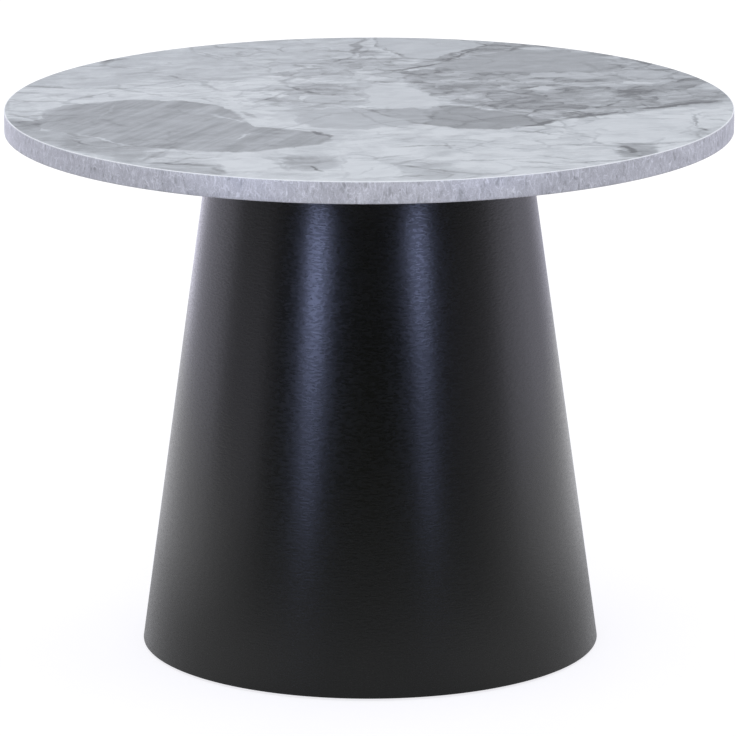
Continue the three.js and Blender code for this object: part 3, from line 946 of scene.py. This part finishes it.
def add_seam(black):
    """The dressed weld down the back of the cone, where the rolled sheet meets itself."""
    low = CONE_FOOT_Z + SEAM_END
    high = CONE_HEAD_Z - SEAM_END
    half = SEAM_WIDTH / 2 / CONE_FOOT_RADIUS
    bury = SHELL_THICKNESS / 2

    def crowned(radius, rise):
        """The radius of a crown that rises from that radius at the seam's two sides."""
        def at(angle):
            off = (angle - TAU / 4) / half
            return radius + rise * (1 - off * off)
        return at

    profile = [(cone_radius(low) - bury, low)]
    for n in range(SEAM_ROWS + 1):
        z = low + (high - low) * n / SEAM_ROWS
        rise = SEAM_RISE * (1 + SEAM_UNEVENNESS * math.sin(n * SEAM_WAVE))
        profile.append((crowned(cone_radius(z) - SEAM_SINK, rise), z))
    profile.append((cone_radius(high) - bury, high))
    shape = turned(profile, SEAM_STEPS, TAU / 4 - half, 2 * half)
    add_piece("cone_seam", shape, [black], "black_powder_coat", [])


def holes(node, count, radius):
    """One hole on the axis of each numbered node."""
    return [(*middle(f"{node}_{n}")[:2], radius, SMALL_STEPS) for n in range(1, count + 1)]


def add_weld(name, z, weld, black):
    """A weld bead inside the cone, under the edge of a disc whose lower face is at z."""
    size, inward, down = weld
    shape = bead(cone_radius(z) - SHELL_THICKNESS - inward, z - down, size)
    add_piece(name, shape, [black], "black_powder_coat", [])


def add_plate(black):
    low, high = PLATE_BOX
    loops = [(0, 0, high.x, LARGE_STEPS), (0, 0, PLATE_CENTRE_RADIUS, SMALL_STEPS)]
    loops += holes("flat_washer", BOLT_COUNT, PLATE_HOLE_RADIUS)
    shape = plate(low.z, high.z, loops, STEEL_EDGE)
    add_piece("head_plate", shape, [black], "black_powder_coat", ["top_plate"])
    add_weld("head_weld", low.z, HEAD_WELD, black)


def add_ring(black):
    low, high = RING_BOX
    loops = [(0, 0, high.x, LARGE_STEPS), (0, 0, RING_INNER_RADIUS, LARGE_STEPS)]
    loops += holes("foot_nut", FOOT_COUNT, RING_HOLE_RADIUS)
    shape = plate(low.z, high.z, loops, STEEL_EDGE)
    add_piece("foot_ring", shape, [black], "black_powder_coat", ["base_ring"])
    add_weld("foot_weld", low.z, FOOT_WELD, black)


def bolt_shape(low, high):
    """A button-head socket screw, head down, from its head's face at low to its tip at high."""
    seat = low + BOLT_HEAD_HEIGHT
    socket = hexagon(BOLT_SOCKET_WIDTH, BOLT_HEAD_RADIUS)
    root = BOLT_THREAD[0]
    profile = [
        # the socket: its drilled bottom, its walls and its mouth
        (0, low + BOLT_SOCKET_DEPTH + 0.3 * MM),
        (socket, low + BOLT_SOCKET_DEPTH),
        (socket, low + 0.25 * MM),
        (2.55 * MM, low),
    ]
    for across, up in BOLT_HEAD_DOME:
        profile.append((BOLT_HEAD_RADIUS * across, low + BOLT_HEAD_HEIGHT * up))
    profile.append((root, seat))
    profile += screwed(BOLT_THREAD, seat + BOLT_NECK, high - BOLT_TIP)
    profile += [(root - 0.3 * MM, high), (0, high)]
    return turned(profile, SMALL_STEPS)


def add_bolts(metal):
    for n in range(1, BOLT_COUNT + 1):
        place = middle(f"flat_washer_{n}")
        low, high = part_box(f"flat_washer_{n}")
        outer = (high.x - low.x) / 2
        profile = flat_ring(WASHER_BORE_RADIUS, outer, low.z, high.z, FLAT_WASHER_EDGE)
        flat = moved(turned(profile, NUT_STEPS), place)
        add_piece(f"washer_{n}", flat, [metal], "zinc_plated_steel", [f"flat_washer_{n}"])

        low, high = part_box(f"spring_washer_{n}")
        profile = flat_ring(WASHER_BORE_RADIUS, SPRING_WASHER_RADIUS, low.z, high.z, SPRING_WASHER_EDGE)
        coil = turned(profile, SMALL_STEPS, SPRING_WASHER_TURN * n, TAU - SPRING_WASHER_SPLIT)
        coil = moved(coil, place)
        add_piece(f"lock_washer_{n}", coil, [metal], "zinc_plated_steel", [f"spring_washer_{n}"])

        low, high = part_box(f"top_bolt_{n}")
        bolt = moved(bolt_shape(low.z, high.z), place)
        add_piece(f"button_screw_{n}", bolt, [metal], "zinc_plated_steel", [f"top_bolt_{n}"])


def chamfered_hexagon(low, high, chamfer):
    """Profile rows for the outside of a hexagon whose corners are cut at both ends."""
    flat = hexagon(NUT_WIDTH, NUT_WIDTH)
    cut = hexagon(NUT_WIDTH, NUT_WIDTH / math.sqrt(3) - 1.7 * chamfer)
    return [(cut, low), (flat, low + chamfer), (flat, high - chamfer), (cut, high)]


def nut_shape(low, high):
    """A hexagon weld nut, open through its thread."""
    bore = screwed(NUT_THREAD, high - NUT_LEAD_IN, low + NUT_LEAD_IN)
    return turned(bore + chamfered_hexagon(low, high, NUT_CHAMFER), NUT_STEPS)


def stud_shape(low, high):
    """A levelling stud: a flange caught in the glide, a journal, the spanner's hexagon, and the thread."""
    flange = STUD_FLANGE_RADIUS
    journal = STUD_JOURNAL_RADIUS
    root = FOOT_THREAD[0]
    profile = [
        (0, low),
        (flange - STUD_EDGE, low),
        (flange, low + STUD_EDGE),
        (flange, STUD_FLANGE_TOP_Z - STUD_EDGE),
        (flange - STUD_EDGE, STUD_FLANGE_TOP_Z),
        (journal, STUD_FLANGE_TOP_Z),
        (journal, SPANNER_FLANGE_LOW_Z),
    ]
    profile += chamfered_hexagon(SPANNER_FLANGE_LOW_Z, SPANNER_FLANGE_HIGH_Z, SPANNER_FLANGE_CHAMFER)
    profile.append((root, SPANNER_FLANGE_HIGH_Z))
    profile += screwed(FOOT_THREAD, SPANNER_FLANGE_HIGH_Z + STUD_NECK, high - STUD_TIP)
    profile += [(root - 0.6 * MM, high), (0, high)]
    return turned(profile, NUT_STEPS)


def pad_shape(high):
    """A moulded glide with a ribbed rim, a recessed foot and a chamber for the stud's flange."""
    rim = rippled(PAD_RADIUS - PAD_RIB_DEPTH, PAD_RIB_DEPTH, PAD_RIB_COUNT)
    profile = [
        # the foot, from the axis outwards
        (0, 0.5 * MM),
        (10.5 * MM, 0.5 * MM),
        (11.0 * MM, 0),
        (14.2 * MM, 0),
        (15.1 * MM, 0.5 * MM),
        # the ribbed rim and the shoulder
        (rim, 1.4 * MM),
        (rim, high - 3.2 * MM),
        (15.3 * MM, high - 2.5 * MM),
        (14.2 * MM, high - 1.9 * MM),
        (PAD_SHOULDER_RADIUS + 0.6 * MM, high - 0.15 * MM),
        (PAD_SHOULDER_RADIUS - 0.2 * MM, high),
        # the neck and the chamber
        (PAD_NECK_RADIUS + 0.3 * MM, high),
        (PAD_NECK_RADIUS, high - 0.3 * MM),
        (PAD_NECK_RADIUS, PAD_CEILING_Z),
        (PAD_CHAMBER_RADIUS, PAD_CEILING_Z),
        (PAD_CHAMBER_RADIUS, PAD_FLOOR_Z),
        (0, PAD_FLOOR_Z),
    ]
    return turned(profile, PAD_STEPS)


def add_feet(metal, plastic):
    for n in range(1, FOOT_COUNT + 1):
        place = middle(f"foot_nut_{n}")
        low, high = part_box(f"foot_nut_{n}")
        nut = moved(nut_shape(low.z, high.z), place)
        add_piece(f"weld_nut_{n}", nut, [metal], "zinc_plated_steel", [f"foot_nut_{n}"])

        low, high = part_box(f"foot_stud_{n}")
        stud = moved(stud_shape(low.z, high.z), place)
        node = f"foot_stud_{n}"
        add_piece(f"levelling_stud_{n}", stud, [metal], "zinc_plated_steel", [node], f"screw_{n}")

        low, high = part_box(f"foot_pad_{n}")
        pad = moved(pad_shape(high.z), place)
        add_piece(f"glide_pad_{n}", pad, [plastic], "black_nylon", [f"foot_pad_{n}"], f"glide_{n}")


def finish_node(name, material):
    """Gives a CAD node that stays in view its finished material."""
    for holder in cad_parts[name].material_slots:
        holder.material = material


def add_floor():
    profile = [(0, -FLOOR_THICKNESS), (FLOOR_RADIUS, -FLOOR_THICKNESS), (FLOOR_RADIUS, 0), (0, 0)]
    shape = turned(profile, FLOOR_STEPS)
    floor = bpy.data.objects.new("floor", new_mesh("floor", shape, [floor_finish()]))
    bpy.context.scene.collection.objects.link(floor)


set_camera()
set_world()
set_lights()
add_floor()

black = powder_coat()
metal = zinc()
add_top_sheet(marble())
add_edge_band(edging(), band_core())
add_cone(black)
add_seam(black)
add_plate(black)
add_ring(black)
add_bolts(metal)
add_feet(metal, nylon())
finish_node("tabletop_core", fibreboard())
finish_node("underside_sheet", backer())
for n in range(1, BOLT_COUNT + 1):
    finish_node(f"threaded_insert_{n}", metal)
